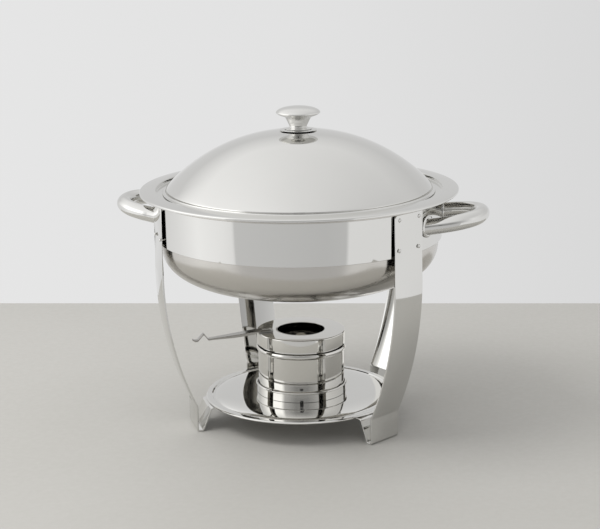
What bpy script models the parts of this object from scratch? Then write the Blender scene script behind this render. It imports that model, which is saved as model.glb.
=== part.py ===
"""Round chafing dish: a lift-off domed lid, a food pan and a water pan, hung in a band that four
strap legs carry, with a fuel burner and its regulator lever on a tray between the feet.

Metres, +Z up. The origin is on the floor under the middle of the dish, the front is -Y and the
two loop handles lie along X. An azimuth is counted in degrees from the front towards +X.
"""
import math

import bmesh
import bpy
from mathutils import Matrix, Vector

# ---------------------------------------------------------------- driving dimensions
GAP = 0.0003                  # clearance between neighbouring pieces
SHEET = 0.0012                # sheet of the pans
LID_SHEET = 0.0010
TURN_STEPS = 36               # facets round the large turned pieces
BURNER_STEPS = 28             # facets round the burner
SMALL_STEPS = 24              # facets round the knob

BAND_INNER_R = 0.1600         # ring that carries the dish
BAND_OUTER_R = 0.1613
BAND_BOTTOM = 0.2170
BAND_TOP = 0.2655

WATER_WALL_R = 0.1576         # outside of the water pan's wall, inside the rivets
WATER_NECK_R = BAND_INNER_R - GAP
WATER_RIM_R = 0.1680
WATER_RIM_TOP = 0.2670
WATER_LIP_BOTTOM = 0.2648
WATER_BOWL_DEPTH = 0.0600     # below the band
WATER_BOWL_POWER = 2.8

FOOD_FLANGE_R = 0.1800        # food pan: wide flange, ledge for the lid, straight bowl
FOOD_FLANGE_EDGE = 0.2718
FOOD_FLANGE_INNER = 0.2730
FOOD_LIP_BOTTOM = 0.2690
FOOD_STEP_R = 0.1615
FOOD_LEDGE = 0.2685
FOOD_WALL_R = 0.1495
FOOD_BOWL_TOP = 0.2260
FOOD_BOWL_DEPTH = 0.0200
FOOD_BOWL_POWER = 4.0

LID_R = 0.1500
LID_RIM_R = 0.1540            # narrow rim round the dome, flat on the food pan's ledge
LID_EDGE = 0.2733             # height of the dome's edge, above its rim
LID_RISE = 0.0637
LID_APEX = LID_EDGE + LID_RISE
SCREW_HOLE_R = 0.0030
SCREW_R = 0.0025

KNOB_WASHER_R = 0.0210
KNOB_BASE = LID_APEX + 0.0013
KNOB_BORE_R = 0.0028
KNOB_BORE_TOP = KNOB_BASE + 0.0137

LEG_AZIMUTHS = {"front_left": -60.5, "front_right": 60.5, "rear_left": -144.0, "rear_right": 144.0}
LEG_WIDTH = 0.0450
LEG_SHEET = 0.0020
LEG_INNER_R = BAND_OUTER_R + GAP
LEG_TOP = 0.2640
LEG_BEND_START = 0.1850       # the straight top ends here and the long arc begins
LEG_ARC_R = 0.3664
LEG_ARC_ANGLE = math.radians(25.03)
FOOT_FLAT = 0.0062            # flat under the foot, before its corners are rounded
TAB_OUTER_R = 0.1120          # the foot's inner arm turns level here
TAB_INNER_R = 0.0960

RIVET_SIDE = 0.0158           # rivets stand this far either side of a leg's middle
RIVET_HEIGHTS = (0.2250, 0.2583)
RIVET_SHANK_R = 0.0015
RIVET_HOLE_R = 0.0018
RIVET_HEAD_R = 0.0021
RIVET_HEAD_H = 0.0008
RIVET_TAIL_R = 0.1583         # distance of the tail's outer face from the dish's axis
RIVET_TAIL_H = 0.0007

HANDLE_TUBE_R = 0.00875
HANDLE_ROOT_Z = 0.2425
HANDLE_TILT = math.radians(8.0)
HANDLE_ROOT_ANGLE = 16.3      # degrees from the handle's axis to each root
HANDLE_HALF_LOOP = ((0.0460, 0.1480), (0.0452, 0.1600), (0.0425, 0.1740),
                    (0.0350, 0.1900), (0.0200, 0.2030))
HANDLE_TIP = 0.2073
FLANGE_DISC_R = 0.0125
FLANGE_DISC_H = 0.0022

TRAY_R = 0.1110
TRAY_SHEET = 0.0010
TRAY_EDGE = 0.0273            # underside of the tray's flat edge
TRAY_EDGE_INNER_R = 0.0960
TRAY_TOP = 0.0320
TRAY_FLAT_R = 0.0600

COLLAR_INNER_R = 0.0503
COLLAR_SHEET = 0.0012
COLLAR_LIP_R = 0.0527
COLLAR_TOP = 0.0436

CAP_R = 0.0509
CAP_SHEET = 0.0009
CAP_BOTTOM = 0.0903
CAP_TOP = 0.1050
CAP_HOLE_R = 0.0274

CUP_R = 0.0497
CUP_SHEET = 0.0009
CUP_BEAD_R = 0.0517
CUP_BEAD_BOTTOM = 0.0818
CUP_BEAD_TOP = 0.0878
CUP_NECK_R = 0.0475
CUP_TOP = CAP_TOP - CAP_SHEET - GAP   # the cap rests on the neck's edge

LEVER_AZIMUTH = -63.0
LEVER_WEB = 0.0012
LEVER_RIVETS = (0.0375, 0.0428)
LEVER_HOLE_R = 0.0015
LEVER_SHANK_R = 0.0012

STEEL = (0.72, 0.71, 0.69, 1.0)
SATIN_STEEL = (0.60, 0.59, 0.56, 1.0)


# ---------------------------------------------------------------- helpers
def collection(name):
    """A new collection in the scene."""
    group = bpy.data.collections.new(name)
    bpy.context.scene.collection.children.link(group)
    return group


def finish(piece, colour=STEEL, roughness=0.12):
    """Give a piece a steel of its own."""
    steel = bpy.data.materials.new(piece.name + "_steel")
    steel.use_nodes = True
    shader = steel.node_tree.nodes["Principled BSDF"]
    shader.inputs["Base Color"].default_value = colour
    shader.inputs["Metallic"].default_value = 1.0
    shader.inputs["Roughness"].default_value = roughness
    piece.data.materials.clear()
    piece.data.materials.append(steel)
    return piece


def radial(azimuth):
    """Unit vector that points out from the axis at an azimuth."""
    angle = math.radians(azimuth)
    return Vector((math.sin(angle), -math.cos(angle), 0.0))


def turn_to(azimuth):
    """Rotation about Z that carries +X to an azimuth."""
    return math.radians(azimuth - 90.0)


def new_piece(name, data, group):
    """An object with the given mesh or curve."""
    piece = bpy.data.objects.new(name, data)
    group.objects.link(piece)
    return piece


def mesh_from(name, build):
    """A mesh that the function build fills."""
    shape = bmesh.new()
    build(shape)
    mesh = bpy.data.meshes.new(name)
    shape.to_mesh(mesh)
    shape.free()
    return mesh


def cylinder(shape, radius, depth, matrix, segments):
    """Add a capped cylinder, centred on the matrix and lying along its Z."""
    bmesh.ops.create_cone(shape, cap_ends=True, segments=segments, radius1=radius,
                          radius2=radius, depth=depth, matrix=matrix)


def along(direction, centre):
    """Matrix that carries +Z to a direction, at a centre."""
    return Matrix.Translation(centre) @ direction.to_track_quat("Z", "Y").to_matrix().to_4x4()


def turned(name, profile, steps, group, closed=False):
    """Spin a section round Z. It runs clockwise seen with +X right and +Z up."""
    def build(shape):
        points = [shape.verts.new((r, 0.0, z)) for r, z in profile]
        for start, end in zip(points, points[1:]):
            shape.edges.new((start, end))
        if closed:
            shape.edges.new((points[-1], points[0]))

    piece = new_piece(name, mesh_from(name, build), group)
    spin = piece.modifiers.new("Spin", "SCREW")
    spin.axis = "Z"
    spin.angle = math.tau
    spin.steps = steps
    spin.render_steps = steps
    spin.use_merge_vertices = True
    spin.merge_threshold = 0.00005
    spin.use_smooth_shade = True
    return piece


def as_mesh(piece):
    """Replace a curve by its welded mesh, so that it can be cut."""
    graph = bpy.context.evaluated_depsgraph_get()
    mesh = bpy.data.meshes.new_from_object(piece.evaluated_get(graph))
    shape = bmesh.new()
    shape.from_mesh(mesh)
    bmesh.ops.remove_doubles(shape, verts=shape.verts, dist=0.00001)
    shape.to_mesh(mesh)
    shape.free()
    name = piece.name
    group = piece.users_collection[0]
    matrix = piece.matrix_world.copy()
    bpy.data.objects.remove(piece)
    solid = new_piece(name, mesh, group)
    solid.matrix_world = matrix
    return solid


def hide(cutter):
    """Mark an object as a cutter."""
    cutter.hide_render = True
    cutter.display_type = "WIRE"
    return cutter


def cut(piece, cutter):
    """Take a cutter out of a piece."""
    boolean = piece.modifiers.new("Cut " + cutter.name, "BOOLEAN")
    boolean.operation = "DIFFERENCE"
    boolean.solver = "EXACT"
    boolean.object = cutter


def smooth(piece, limit=35.0):
    """Shade a mesh smooth, with edges sharper than the limit kept."""
    piece.data.shade_smooth()
    piece.data.set_sharp_from_angle(angle=math.radians(limit))
    return piece


def bowl(radius, top, depth, power, count):
    """Points down the outside of a bowl, from its wall to the axis."""
    points = []
    for index in range(count + 1):
        angle = 0.5 * math.pi * index / count
        across = max(math.cos(angle), 0.0) ** (2.0 / power)
        down = math.sin(angle) ** (2.0 / power)
        points.append((radius * across if index < count else 0.0, top - depth * down))
    return points


def rounded(corners, radii, steps=3):
    """A path through corners, each turned on an arc of its own radius."""
    path = [Vector(corners[0])]
    for before, corner, after, radius in zip(corners, corners[1:], corners[2:], radii):
        corner = Vector(corner)
        towards = (Vector(before) - corner).normalized()
        away = (Vector(after) - corner).normalized()
        half = 0.5 * towards.angle(away)
        centre = corner + (towards + away).normalized() * (radius / math.sin(half))
        start = corner + towards * (radius / math.tan(half)) - centre
        end = corner + away * (radius / math.tan(half)) - centre
        for index in range(steps + 1):
            blend = index / steps
            turn = start.angle(end)
            arm = (start * math.sin((1.0 - blend) * turn) + end * math.sin(blend * turn))
            path.append(centre + arm / math.sin(turn))
    path.append(Vector(corners[-1]))
    return path


def ribbon(path, thickness):
    """Outline of a strap whose middle follows a path."""
    left = []
    right = []
    for index, point in enumerate(path):
        before = path[max(index - 1, 0)]
        after = path[min(index + 1, len(path) - 1)]
        into = (point - before).normalized() if index else (after - point).normalized()
        out = (after - point).normalized() if index < len(path) - 1 else into
        normal = (into + out).normalized().orthogonal()
        reach = 0.5 * thickness / max(normal.dot(into.orthogonal()), 0.5)
        left.append(point + normal * reach)
        right.append(point - normal * reach)
    return left + right[::-1]


# ---------------------------------------------------------------- lid
def dome(radius, edge, rise, start, count=9):
    """Points of the dome from its middle hole out to its edge."""
    first = math.asin(start / radius)
    points = []
    for index in range(count + 1):
        angle = first + (0.5 * math.pi - first) * index / count
        r = radius * math.sin(angle)
        points.append((r, edge + rise * max(1.0 - (r / radius) ** 2.2, 0.0) ** 0.9))
    return points


def make_lid(group):
    rim_bottom = FOOD_LEDGE + GAP
    rim_top = rim_bottom + LID_SHEET
    inner_r = LID_R - LID_SHEET
    section = dome(LID_R, LID_EDGE, LID_RISE, SCREW_HOLE_R)
    section += [(LID_R + 0.0001, rim_top + 0.0020), (LID_R + 0.0008, rim_top + 0.0004),
                (LID_R + 0.0022, rim_top), (LID_RIM_R, rim_top), (LID_RIM_R, rim_bottom),
                (LID_R, rim_bottom), (inner_r, rim_bottom + 0.0012)]
    section += dome(inner_r, LID_EDGE, LID_RISE - LID_SHEET, SCREW_HOLE_R)[::-1]
    finish(turned("lid_dome", section, TURN_STEPS, group, closed=True))

    washer_top = KNOB_BASE - GAP
    washer_bottom = LID_APEX + GAP
    section = [(SCREW_HOLE_R, washer_top), (KNOB_WASHER_R - 0.0010, washer_top),
               (KNOB_WASHER_R, washer_bottom + 0.0002), (KNOB_WASHER_R, washer_bottom),
               (SCREW_HOLE_R, washer_bottom)]
    finish(turned("knob_base_washer", section, SMALL_STEPS, group, closed=True))

    outline = ((0.0, 0.0256), (0.0100, 0.0251), (0.0180, 0.0235), (0.0230, 0.0211),
               (0.0250, 0.0185), (0.0246, 0.0163), (0.0220, 0.0143), (0.0170, 0.0121),
               (0.0136, 0.0087), (0.0108, 0.0053), (0.0092, 0.0029), (0.0105, 0.0016),
               (0.0155, 0.0003), (0.0155, 0.0))
    section = [(r, KNOB_BASE + z) for r, z in outline]
    section += [(KNOB_BORE_R, KNOB_BASE), (KNOB_BORE_R, KNOB_BORE_TOP), (0.0, KNOB_BORE_TOP)]
    finish(turned("lid_knob", section, SMALL_STEPS, group))

    inner_washer_top = LID_APEX - LID_SHEET - 3.0 * GAP
    inner_washer_bottom = inner_washer_top - 0.0007
    section = [(SCREW_HOLE_R, inner_washer_top), (0.0090, inner_washer_top),
               (0.0090, inner_washer_bottom), (SCREW_HOLE_R, inner_washer_bottom)]
    finish(turned("knob_inner_washer", section, SMALL_STEPS, group, closed=True))

    head_top = inner_washer_bottom - GAP
    section = [(0.0, KNOB_BORE_TOP - 0.0020), (SCREW_R, KNOB_BORE_TOP - 0.0020),
               (SCREW_R, head_top), (0.0045, head_top), (0.0042, head_top - 0.0030),
               (0.0, head_top - 0.0030)]
    finish(turned("knob_screw", section, 12, group), roughness=0.3)


# ---------------------------------------------------------------- pans and band
def make_food_pan(group):
    inner_r = FOOD_WALL_R - SHEET
    step_outer = FOOD_STEP_R + SHEET
    ledge_under = FOOD_LEDGE - SHEET
    lip_inner = FOOD_FLANGE_R - SHEET
    section = bowl(inner_r, FOOD_BOWL_TOP, FOOD_BOWL_DEPTH - SHEET, FOOD_BOWL_POWER, 5)[::-1]
    section += [(inner_r, FOOD_LEDGE - 0.0008), (inner_r + 0.0008, FOOD_LEDGE),
                (FOOD_STEP_R, FOOD_LEDGE), (FOOD_STEP_R, FOOD_FLANGE_INNER),
                (FOOD_FLANGE_R - 0.0014, FOOD_FLANGE_EDGE),
                (FOOD_FLANGE_R, FOOD_FLANGE_EDGE - 0.0012),
                (FOOD_FLANGE_R, FOOD_LIP_BOTTOM), (lip_inner, FOOD_LIP_BOTTOM),
                (lip_inner - 0.0004, FOOD_FLANGE_EDGE - SHEET),
                (step_outer, FOOD_FLANGE_INNER - SHEET), (step_outer, ledge_under),
                (FOOD_WALL_R, ledge_under)]
    section += bowl(FOOD_WALL_R, FOOD_BOWL_TOP, FOOD_BOWL_DEPTH, FOOD_BOWL_POWER, 5)
    finish(turned("food_pan", section, TURN_STEPS, group), roughness=0.2)


def make_water_pan(group):
    wall_inner = WATER_WALL_R - SHEET
    neck_inner = WATER_NECK_R - SHEET
    shoulder = 0.2620
    neck_start = 0.2640
    lip_inner = WATER_RIM_R - SHEET
    section = bowl(wall_inner, BAND_BOTTOM, WATER_BOWL_DEPTH - SHEET, WATER_BOWL_POWER, 7)[::-1]
    section += [(wall_inner, shoulder), (neck_inner, neck_start), (neck_inner, WATER_RIM_TOP),
                (WATER_RIM_R - 0.0008, WATER_RIM_TOP), (WATER_RIM_R, WATER_RIM_TOP - 0.0008),
                (WATER_RIM_R, WATER_LIP_BOTTOM), (lip_inner, WATER_LIP_BOTTOM),
                (lip_inner, WATER_RIM_TOP - SHEET), (WATER_NECK_R, WATER_RIM_TOP - SHEET),
                (WATER_NECK_R, neck_start), (WATER_WALL_R, shoulder)]
    section += bowl(WATER_WALL_R, BAND_BOTTOM, WATER_BOWL_DEPTH, WATER_BOWL_POWER, 7)
    finish(turned("water_pan", section, TURN_STEPS, group), SATIN_STEEL, 0.35)


def make_band(group, rivet_cutters):
    section = [(BAND_INNER_R, BAND_TOP), (BAND_OUTER_R, BAND_TOP),
               (BAND_OUTER_R, BAND_BOTTOM), (BAND_INNER_R, BAND_BOTTOM)]
    band = turned("band_ring", section, TURN_STEPS, group, closed=True)
    for cutter in rivet_cutters:
        cut(band, cutter)
    finish(band)


# ---------------------------------------------------------------- legs and their rivets
def leg_path():
    """Middle line of a leg's strap as (radius, height), from its top to the tray's tab."""
    middle_r = LEG_INNER_R + 0.5 * LEG_SHEET
    path = [Vector((middle_r, LEG_TOP))]
    steps = 9
    for index in range(steps):
        angle = LEG_ARC_ANGLE * index / steps
        path.append(Vector((middle_r - LEG_ARC_R * (1.0 - math.cos(angle)),
                            LEG_BEND_START - LEG_ARC_R * math.sin(angle))))
    knee = (middle_r - LEG_ARC_R * (1.0 - math.cos(LEG_ARC_ANGLE)),
            LEG_BEND_START - LEG_ARC_R * math.sin(LEG_ARC_ANGLE))
    sole = 0.5 * LEG_SHEET
    tab = TRAY_EDGE - GAP - 0.5 * LEG_SHEET
    corners = [tuple(path[-1]), knee, (knee[0], sole), (knee[0] - FOOT_FLAT, sole),
               (TAB_OUTER_R, tab), (TAB_INNER_R, tab)]
    return path[:-1] + rounded(corners, (0.0060, 0.0018, 0.0024, 0.0030))


def rivet_places(azimuth):
    """Middle of each rivet of a leg, on the leg's outer face."""
    out = radial(azimuth)
    side = Vector((-out.y, out.x, 0.0))
    for height in RIVET_HEIGHTS:
        for sign in (-1, 1):
            yield out * (LEG_INNER_R + LEG_SHEET) + side * (sign * RIVET_SIDE) + Vector((0, 0, height))


def make_leg(name, azimuth, outline, group, cutters):
    """One strap leg, drilled for its rivets. Returns the drill, which also drills the band."""
    curve = bpy.data.curves.new(name, "CURVE")
    curve.dimensions = "2D"
    curve.fill_mode = "BOTH"
    curve.extrude = 0.5 * LEG_WIDTH
    spline = curve.splines.new("POLY")
    spline.points.add(len(outline) - 1)
    for point, place in zip(spline.points, outline):
        point.co = (place.x, place.y, 0.0, 1.0)
    spline.use_cyclic_u = True
    leg = new_piece("leg_" + name, curve, group)
    leg.rotation_euler = (0.5 * math.pi, 0.0, turn_to(azimuth))
    bpy.context.view_layer.update()
    leg = as_mesh(leg)

    def build(shape):
        for place in rivet_places(azimuth):
            cylinder(shape, RIVET_HOLE_R, 0.0200, along(radial(azimuth), place), 8)

    drill = hide(new_piece("drill_" + name, mesh_from("drill_" + name, build), cutters))
    cut(leg, drill)
    finish(smooth(leg))
    return drill


def make_leg_rivets(name, azimuth, group):
    """Four rivets, each with a domed head outside the leg and a flat tail inside the band."""
    out = radial(azimuth)
    outer_face = LEG_INNER_R + LEG_SHEET + GAP
    tail = RIVET_TAIL_R - outer_face
    section = [(0.0, RIVET_HEAD_H), (0.0014, 0.8 * RIVET_HEAD_H), (RIVET_HEAD_R, 0.0),
               (RIVET_SHANK_R, 0.0), (RIVET_SHANK_R, tail), (RIVET_HEAD_R, tail),
               (RIVET_HEAD_R, tail - RIVET_TAIL_H), (0.0, tail - RIVET_TAIL_H)]
    places = ("lower_left", "lower_right", "upper_left", "upper_right")
    for label, place in zip(places, rivet_places(azimuth)):
        rivet = turned("rivet_" + name + "_" + label, section, 8, group)
        rivet.matrix_world = along(out, place + out * GAP)
        finish(rivet, roughness=0.2)


# ---------------------------------------------------------------- handles
def make_handle(name, azimuth, group, cutters):
    """One loop handle and the two round flanges that hold it to the band."""
    turn = Matrix.Rotation(turn_to(azimuth), 4, "Z")
    curve = bpy.data.curves.new(name, "CURVE")
    curve.dimensions = "3D"
    curve.bevel_depth = HANDLE_TUBE_R
    curve.bevel_resolution = 4
    curve.use_fill_caps = True
    curve.resolution_u = 3
    half = [(out, -side) for side, out in HANDLE_HALF_LOOP]
    points = half + [(HANDLE_TIP, 0.0)] + [(out, -side) for out, side in half[::-1]]
    spline = curve.splines.new("BEZIER")
    spline.bezier_points.add(len(points) - 1)
    for point, (out, side) in zip(spline.bezier_points, points):
        rise = (out - BAND_OUTER_R) * math.tan(HANDLE_TILT)
        point.co = (out, side, HANDLE_ROOT_Z + rise)
        point.handle_left_type = "AUTO"
        point.handle_right_type = "AUTO"
    loop = new_piece(name, curve, group)
    loop.matrix_world = turn
    bpy.context.view_layer.update()
    loop = as_mesh(loop)

    ends = (("front", -HANDLE_ROOT_ANGLE), ("rear", HANDLE_ROOT_ANGLE))
    if azimuth < 0:
        ends = (("rear", -HANDLE_ROOT_ANGLE), ("front", HANDLE_ROOT_ANGLE))
    for label, offset in ends:
        out = radial(azimuth + offset)
        inner_face = BAND_OUTER_R + GAP
        disc_centre = out * (inner_face + 0.5 * FLANGE_DISC_H) + Vector((0, 0, HANDLE_ROOT_Z))

        def build_disc(shape):
            bmesh.ops.create_cone(shape, cap_ends=True, segments=20, radius1=FLANGE_DISC_R,
                                  radius2=FLANGE_DISC_R - 0.0006, depth=FLANGE_DISC_H,
                                  matrix=along(out, disc_centre))

        disc = new_piece(name + "_flange_" + label, mesh_from(name, build_disc), group)
        finish(smooth(disc))

        trim_size = 0.0600
        trim_face = inner_face + FLANGE_DISC_H + GAP
        trim_centre = out * (trim_face - 0.5 * trim_size) + Vector((0, 0, HANDLE_ROOT_Z))

        def build_trim(shape):
            bmesh.ops.create_cube(shape, size=trim_size, matrix=along(out, trim_centre))

        trim_name = "trim_" + name + "_" + label
        trim = hide(new_piece(trim_name, mesh_from(trim_name, build_trim), cutters))
        cut(loop, trim)
    finish(smooth(loop, 50.0))


# ---------------------------------------------------------------- tray and burner
def make_tray(group):
    """Shallow round tray, raised in the middle, on the four feet's tabs."""
    slope = []
    steps = 4
    for index in range(1, steps + 1):
        blend = index / steps
        r = TRAY_FLAT_R + (TRAY_EDGE_INNER_R - TRAY_FLAT_R) * blend
        slope.append((r, TRAY_TOP - (TRAY_TOP - TRAY_EDGE - TRAY_SHEET) * blend ** 1.8))
    edge_top = TRAY_EDGE + TRAY_SHEET
    section = [(0.0, TRAY_TOP), (TRAY_FLAT_R, TRAY_TOP)] + slope
    section += [(TRAY_R - 0.0005, edge_top), (TRAY_R, edge_top - 0.0005), (TRAY_R, TRAY_EDGE)]
    section += [(r, z - TRAY_SHEET) for r, z in slope[::-1]]
    section += [(TRAY_FLAT_R, TRAY_TOP - TRAY_SHEET), (0.0, TRAY_TOP - TRAY_SHEET)]
    finish(turned("burner_tray", section, TURN_STEPS, group))


def make_collar(group):
    """Upright ring on the tray that keeps the burner in its place."""
    outer_r = COLLAR_INNER_R + COLLAR_SHEET
    bottom = TRAY_TOP + GAP
    section = [(COLLAR_INNER_R, COLLAR_TOP - 0.0006), (outer_r, COLLAR_TOP),
               (COLLAR_LIP_R, COLLAR_TOP - 0.0004), (COLLAR_LIP_R, COLLAR_TOP - 0.0014),
               (outer_r, COLLAR_TOP - 0.0022), (outer_r, bottom), (COLLAR_INNER_R, bottom)]
    finish(turned("burner_collar", section, BURNER_STEPS, group, closed=True))


def make_cup(group):
    """Fuel cup: straight wall, rolled bead, and a neck that the cap turns on."""
    bottom = TRAY_TOP + GAP
    inner_r = CUP_R - CUP_SHEET
    neck_inner = CUP_NECK_R - CUP_SHEET
    section = [(0.0, bottom + CUP_SHEET), (CUP_R - 0.0025, bottom + CUP_SHEET),
               (inner_r, bottom + 0.0025), (inner_r, CUP_BEAD_BOTTOM),
               (neck_inner, CUP_BEAD_TOP - 0.0010), (neck_inner, CUP_TOP),
               (CUP_NECK_R, CUP_TOP), (CUP_NECK_R, CUP_BEAD_TOP),
               (CUP_BEAD_R - 0.0009, CUP_BEAD_TOP), (CUP_BEAD_R, CUP_BEAD_TOP - 0.0016),
               (CUP_BEAD_R - 0.0004, CUP_BEAD_BOTTOM + 0.0016), (CUP_R, CUP_BEAD_BOTTOM),
               (CUP_R, bottom + 0.0018), (CUP_R - 0.0018, bottom), (0.0, bottom)]
    finish(turned("burner_cup", section, BURNER_STEPS, group))


def lever_rivet_places():
    """Middle of each lever rivet, on the lever's top face."""
    for distance in LEVER_RIVETS:
        yield radial(LEVER_AZIMUTH) * distance + Vector((0, 0, lever_top()))


def lever_top():
    """Height of the lever's top face where it lies on the cap."""
    return CAP_TOP + GAP + 0.0005 + LEVER_WEB


def make_cap(group, drill):
    """Cap with a round flame hole, drilled for the lever's rivets."""
    inner_r = CAP_R - CAP_SHEET
    under = CAP_TOP - CAP_SHEET
    section = [(CAP_HOLE_R, CAP_TOP), (CAP_R - 0.0010, CAP_TOP), (CAP_R, CAP_TOP - 0.0010),
               (CAP_R, CAP_BOTTOM), (inner_r, CAP_BOTTOM), (inner_r, under - 0.0004),
               (inner_r - 0.0004, under), (CAP_HOLE_R, under)]
    cap = turned("burner_cap", section, BURNER_STEPS, group, closed=True)
    cut(cap, drill)
    finish(cap)


def make_lever(group, cutters):
    """Regulator lever: a channel on the cap, with a raised kink near its tip."""
    top = lever_top()
    stations = ((0.0330, top, 0.0046, 0.0005), (0.0350, top, 0.0060, 0.0005),
                (0.0520, top, 0.0060, 0.0005), (0.0545, top - 0.0002, 0.0059, 0.0018),
                (0.0950, top - 0.0043, 0.0040, 0.0012), (0.1020, top - 0.0050, 0.0036, 0.0006),
                (0.1080, top - 0.0055, 0.0034, 0.0006), (0.1130, top + 0.0011, 0.0032, 0.0006),
                (0.1146, top + 0.0011, 0.0032, 0.0006), (0.1205, top - 0.0062, 0.0030, 0.0006),
                (0.1240, top - 0.0062, 0.0028, 0.0006), (0.1267, top - 0.0048, 0.0026, 0.0006))
    flange = 0.0010

    def build(shape):
        rings = []
        for out, height, half, deep in stations:
            under = height - LEVER_WEB
            foot = under - deep
            outline = ((-half, height), (half, height), (half, foot), (half - flange, foot),
                       (half - flange, under), (flange - half, under), (flange - half, foot),
                       (-half, foot))
            rings.append([shape.verts.new((out, side, z)) for side, z in outline])
        for near, far in zip(rings, rings[1:]):
            for index in range(len(near)):
                after = (index + 1) % len(near)
                shape.faces.new((near[index], near[after], far[after], far[index]))
        shape.faces.new(rings[0][::-1])
        shape.faces.new(rings[-1])
        bmesh.ops.recalc_face_normals(shape, faces=shape.faces)

    lever = new_piece("burner_lever", mesh_from("burner_lever", build), group)
    lever.rotation_euler.z = turn_to(LEVER_AZIMUTH)

    def build_drill(shape):
        for place in lever_rivet_places():
            cylinder(shape, LEVER_HOLE_R, 0.0120, Matrix.Translation(place), 8)

    drill = hide(new_piece("drill_lever", mesh_from("drill_lever", build_drill), cutters))
    cut(lever, drill)
    finish(lever)

    tail = CAP_TOP - CAP_SHEET - GAP - (lever_top() + GAP)
    section = [(0.0, 0.0008), (0.0016, 0.0006), (0.0024, 0.0), (LEVER_SHANK_R, 0.0),
               (LEVER_SHANK_R, tail), (0.0021, tail), (0.0021, tail - 0.0006),
               (0.0, tail - 0.0006)]
    for label, place in zip(("inner", "outer"), lever_rivet_places()):
        rivet = turned("lever_rivet_" + label, section, 8, group)
        rivet.location = place + Vector((0, 0, GAP))
        finish(rivet, roughness=0.2)
    return drill


# ---------------------------------------------------------------- assembly
def main():
    for leftover in list(bpy.data.objects):
        bpy.data.objects.remove(leftover)
    group = collection("chafing_dish")
    cutters = collection("cutters")

    make_lid(group)
    make_food_pan(group)
    make_water_pan(group)
    outline = ribbon(leg_path(), LEG_SHEET)
    drills = []
    for name, azimuth in LEG_AZIMUTHS.items():
        drills.append(make_leg(name, azimuth, outline, group, cutters))
        make_leg_rivets(name, azimuth, group)
    make_band(group, drills)
    make_handle("handle_right", 90.0, group, cutters)
    make_handle("handle_left", -90.0, group, cutters)
    make_tray(group)
    make_collar(group)
    make_cup(group)
    drill = make_lever(group, cutters)
    make_cap(group, drill)


main()
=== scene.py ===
"""Looks of the round chafing dish: fine turned sheet, swept strap legs and tube handles in
polished and satin stainless steel, on a pale table in soft studio light.
Metres, +Z up, front at -Y."""

import math

import bmesh
import bpy
from mathutils import Euler, Matrix, Vector


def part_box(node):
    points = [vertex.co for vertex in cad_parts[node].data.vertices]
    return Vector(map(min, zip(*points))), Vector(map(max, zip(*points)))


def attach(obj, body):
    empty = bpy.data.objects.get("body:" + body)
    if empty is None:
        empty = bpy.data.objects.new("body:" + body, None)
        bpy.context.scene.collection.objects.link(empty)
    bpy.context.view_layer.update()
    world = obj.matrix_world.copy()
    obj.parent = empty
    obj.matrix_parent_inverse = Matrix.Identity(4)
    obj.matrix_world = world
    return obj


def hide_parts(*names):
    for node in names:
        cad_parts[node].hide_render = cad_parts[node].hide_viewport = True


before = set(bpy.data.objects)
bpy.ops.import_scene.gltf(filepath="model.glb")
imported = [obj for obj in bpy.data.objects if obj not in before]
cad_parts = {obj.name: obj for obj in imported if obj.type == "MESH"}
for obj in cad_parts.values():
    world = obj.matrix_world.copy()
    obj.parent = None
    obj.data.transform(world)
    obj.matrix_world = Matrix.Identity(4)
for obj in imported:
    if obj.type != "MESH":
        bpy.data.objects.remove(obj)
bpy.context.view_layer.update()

# ---------------------------------------------------------------- sizes
TURN_SEGMENTS = 256
SMALL_SEGMENTS = 128
RIVET_SEGMENTS = 32
DISC_SEGMENTS = 96
TUBE_SIDES = 48
ON_AXIS = 0.000001              # points closer than this are one point
STRAIGHT = 0.001                # a corner this near to straight gets no arc
SHEET = 0.0012                  # sheet of the pans
GAP = 0.0003                    # clearance between neighbouring pieces

LID_SHEET = 0.0010
LID_RIM_WIDTH = 0.0040
LID_EDGE_RISE = 0.0045          # from the underside of the rim up to the dome's edge
LID_CORNER_R = 0.0021           # between the rim and the dome
LID_CURVE = (2.2, 0.9)          # powers of the dome's profile
SCREW_HOLE_R = 0.0030
KNOB_BORE_R = 0.0028
KNOB_BORE_DEPTH = 0.0137
KNOB_SEAT_R = 0.0155
KNOB_OUTLINE = ((0.0, 0.0256), (0.0060, 0.0254), (0.0120, 0.0247), (0.0180, 0.0234),
                (0.0225, 0.0214), (0.0245, 0.0196), (0.0250, 0.0184), (0.0244, 0.0173),
                (0.0220, 0.0158), (0.0178, 0.0141), (0.0148, 0.0124), (0.0131, 0.0098),
                (0.0113, 0.0062), (0.0099, 0.0034), (0.0100, 0.0021), (0.0118, 0.0011),
                (0.0150, 0.0005))

WALL_START = 0.001              # a pan's upright wall starts this far above its bowl
FOOD_STEP_R = 0.1615
FOOD_LEDGE_DROP = 0.0045        # from the flange down to the ledge that carries the lid
FOOD_WALL_R = 0.1495
FOOD_BOWL_DEPTH = 0.0200
FOOD_BOWL_POWER = 4.0
FOOD_LIP_DROP = 0.0040
WATER_WALL_R = 0.1576
WATER_NECK_R = 0.1597
WATER_NECK_LOW = 0.2620         # the wall starts to widen to the neck
WATER_NECK_HIGH = 0.2640
WATER_LIP_DROP = 0.0022
WATER_BOWL_POWER = 2.8
BAND_INNER_R = 0.1600

LEG_AZIMUTHS = {"front_left": -60.5, "front_right": 60.5,
                "rear_left": -144.0, "rear_right": 144.0}
LEG_WIDTH = 0.0450
LEG_SHEET = 0.0020
LEG_BEND_START = 0.1850
LEG_ARC_R = 0.3664
LEG_ARC_ANGLE = math.radians(25.03)
FOOT_FLAT = 0.0062
TAB_OUTER_R = 0.1120
TAB_INNER_R = 0.0960
LEG_TOP_CORNER = 0.0030
LEG_EDGE_R = 0.0006

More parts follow.
